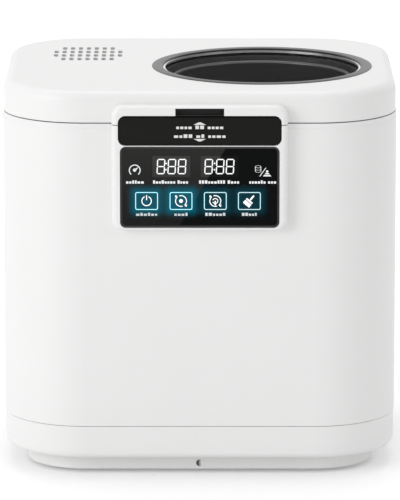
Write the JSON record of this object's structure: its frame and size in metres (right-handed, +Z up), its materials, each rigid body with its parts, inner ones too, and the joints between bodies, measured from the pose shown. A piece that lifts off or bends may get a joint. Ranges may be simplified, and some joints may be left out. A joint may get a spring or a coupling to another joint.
{
  "type": "electric food waste composter",
  "caption": "Lidded cabinet with a heated, stirred waste bucket, round window, latch handle, touch panel, geared drive, fan and filter drawer.",
  "frame": {"origin": "on the floor under the middle of the cabinet, at the bottom centre of the closed object's box", "axes": "+X to the right seen from the front, +Y to the back, +Z up"},
  "size_m": [0.35, 0.314, 0.349],
  "materials": {
    "white_plastic": "satin moulded",
    "inner_white": "matte moulded",
    "black_plastic": "gloss",
    "dark_plastic": "matte",
    "glass": "clear",
    "black_glass": "black glass",
    "steel": "brushed",
    "aluminium": "satin",
    "coated_metal": "non-stick coating",
    "brass": "sintered",
    "rubber": "matte",
    "silicone": "matte",
    "circuit_board": "solder mask",
    "light_guide": "frosted",
    "gear_plastic": "moulded",
    "carbon": "granular"
  },
  "bodies": {
    "cabinet": {"rubber_feet": "rubber", "base_tray": "white_plastic", "base_screws": "steel", "chassis_plate": "steel", "chassis_posts": "steel", "load_cells": "aluminium", "body_shell": "white_plastic", "top_deck": "inner_white", "deck_screws": "steel", "deck_seal": "silicone", "exhaust_grille": "white_plastic", "control_bezel": "white_plastic", "touch_panel": "black_glass", "display_board": "circuit_board", "digits_left": "dark_plastic", "digits_right": "dark_plastic", "button_frames": "light_guide", "control_board": "circuit_board", "power_board": "circuit_board", "power_inlet": "black_plastic", "latch_strike": "steel", "reed_switch": "black_plastic", "hinge_block": "white_plastic", "hinge_pin": "steel", "heated_chamber": "aluminium", "heater_ring": "dark_plastic", "temperature_sensor": "steel", "shaft_bush": "brass", "bucket_seat": "inner_white", "gearbox_lower": "dark_plastic", "gearbox_upper": "dark_plastic", "idler_axle": "steel", "motor": "steel", "fan_frame": "dark_plastic", "air_duct": "dark_plastic", "filter_sleeve": "inner_white"},
    "lid": {"lid_outer": "white_plastic", "lid_inner": "dark_plastic", "window_frame": "dark_plastic", "window_trim": "aluminium", "window_glass": "glass", "window_seal": "silicone", "vent_pad": "carbon", "lid_magnet": "steel", "lid_screws": "steel", "slot_liner": "black_plastic", "latch_pin": "steel"},
    "latch": {"latch_handle": "black_plastic", "latch_hook": "steel"},
    "bucket": {"bucket": "coated_metal", "bucket_grips": "steel", "fixed_blades": "steel"},
    "stirrer": {"stirrer_shaft": "steel", "stirrer_blades": "steel", "output_gear": "gear_plastic"},
    "idler": {"idler_gear": "gear_plastic"},
    "motor_rotor": {"motor_pinion": "steel"},
    "fan_rotor": {"fan_impeller": "dark_plastic"},
    "filter": {"filter_drawer": "white_plastic", "carbon_cartridge": "carbon"}
  },
  "joints": [
    {"name": "lid_hinge", "type": "hinge", "parent": "cabinet", "child": "lid", "pos_m": [0, 0.152, 0.3161], "axis": [-1, 0, 0], "range_deg": [0, 95]},
    {"name": "latch_hinge", "type": "hinge", "parent": "lid", "child": "latch", "pos_m": [0, -0.153, 0.3259], "axis": [-1, 0, 0], "range_deg": [-6, 22]},
    {"name": "bucket_turn", "type": "hinge", "parent": "cabinet", "child": "bucket", "pos_m": [0.056, -0.012, 0.1573], "axis": [0, 0, -1], "range_deg": [0, 18]},
    {"name": "stirrer_spin", "type": "hinge", "parent": "cabinet", "child": "stirrer", "pos_m": [0.056, -0.012, 0.1573], "axis": [0, 0, 1], "continuous": true},
    {"name": "idler_spin", "type": "hinge", "parent": "cabinet", "child": "idler", "pos_m": [-0.012, -0.012, 0.1053], "axis": [0, 0, 1], "continuous": true},
    {"name": "motor_spin", "type": "hinge", "parent": "cabinet", "child": "motor_rotor", "pos_m": [-0.0615, -0.012, 0.1053], "axis": [0, 0, 1], "continuous": true},
    {"name": "fan_spin", "type": "hinge", "parent": "cabinet", "child": "fan_rotor", "pos_m": [-0.061, 0.1224, 0.1233], "axis": [0, 1, 0], "continuous": true},
    {"name": "filter_slide", "type": "slide", "parent": "cabinet", "child": "filter", "axis": [0, 1, 0], "range_m": [0, 0.09]}
  ],
  "couplings": [
    {"joint": "idler_spin", "follows": "stirrer_spin", "ratio": -3.25},
    {"joint": "motor_spin", "follows": "stirrer_spin", "ratio": 12.071}
  ]
}
